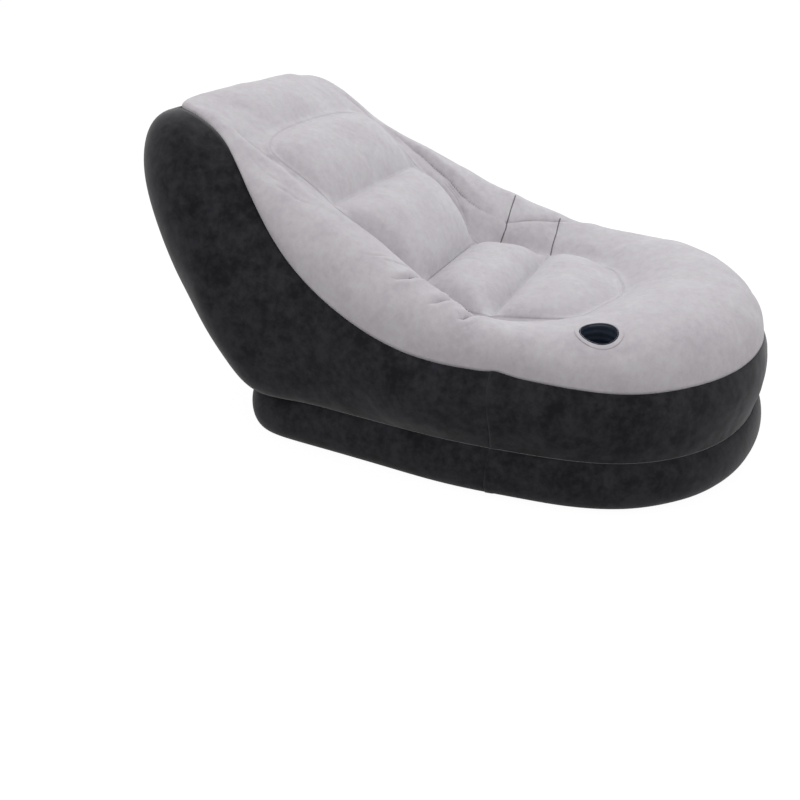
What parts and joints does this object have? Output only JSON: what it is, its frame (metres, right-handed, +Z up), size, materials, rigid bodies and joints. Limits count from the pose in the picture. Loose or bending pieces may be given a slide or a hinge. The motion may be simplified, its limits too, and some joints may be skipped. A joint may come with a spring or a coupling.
{
  "type": "inflatable lounge chair",
  "caption": "Flocked inflatable lounge chair: quilted seat and back, rolled arms, a cup well in one arm, a base ring and a screw-plug air valve.",
  "frame": {"origin": "the middle of the chair's plan, on the floor that it stands on", "axes": "+Z up; the chair faces -Y, so the head of the back is at +Y; +X is the sitter's left, and the cup well is in the arm at -X"},
  "size_m": [1.0098, 1.43, 0.768],
  "materials": {
    "pale_flock": "velvety flocked vinyl, warm light grey with soft mottling",
    "dark_flock": "velvety flocked vinyl, charcoal with a cloudy nap",
    "bottom_vinyl": "plain matt vinyl sheet with a fine leather grain",
    "inner_vinyl": "plain unflocked vinyl sheet",
    "cup_vinyl": "glossy dark slate vinyl",
    "valve_plastic": "satin moulded plastic",
    "seal_rubber": "soft black rubber"
  },
  "bodies": {
    "root": {"top_surround": "pale_flock", "seat_panel": "pale_flock", "back_panel": "pale_flock", "front_side_band": "dark_flock", "rear_side_band": "dark_flock", "front_base_band": "dark_flock", "rear_base_band": "dark_flock", "bottom_sheet": "bottom_vinyl", "waist_sheet": "inner_vinyl", "seat_border_web": "inner_vinyl", "seat_middle_web": "inner_vinyl", "seat_crease_web": "inner_vinyl", "lumbar_web": "inner_vinyl", "head_web": "inner_vinyl", "arm_tie_front_left": "inner_vinyl", "arm_tie_front_right": "inner_vinyl", "arm_tie_rear_left": "inner_vinyl", "arm_tie_rear_right": "inner_vinyl", "cup_rim": "pale_flock", "cup_well": "cup_vinyl", "valve_body": "valve_plastic"},
    "seal": {"valve_seal": "seal_rubber"},
    "plug": {"valve_plug": "valve_plastic"},
    "cap": {"valve_cap": "valve_plastic"},
    "flap": {"valve_flap": "seal_rubber"}
  },
  "joints": [
    {"name": "plug_lift", "type": "slide", "parent": "root", "child": "seal", "axis": [0, 0.905, -0.4254], "range_m": [0, 0.0041]},
    {"name": "plug_turn", "type": "hinge", "parent": "seal", "child": "plug", "pos_m": [0, 0.56461, 0.25773], "axis": [0, 0.905, -0.4254], "range_deg": [0, 360]},
    {"name": "cap_open", "type": "hinge", "parent": "plug", "child": "cap", "pos_m": [0, 0.5832, 0.2712], "axis": [1, 0, 0], "range_deg": [0, 150]},
    {"name": "flap_open", "type": "hinge", "parent": "plug", "child": "flap", "pos_m": [0, 0.56213, 0.27338], "axis": [-1, 0, 0], "range_deg": [0, 60], "stiffness_Nm_per_rad": 0.0005}
  ],
  "couplings": [
    {"joint": "plug_lift", "follows": "plug_turn", "m_per_rad": 0.000637}
  ]
}
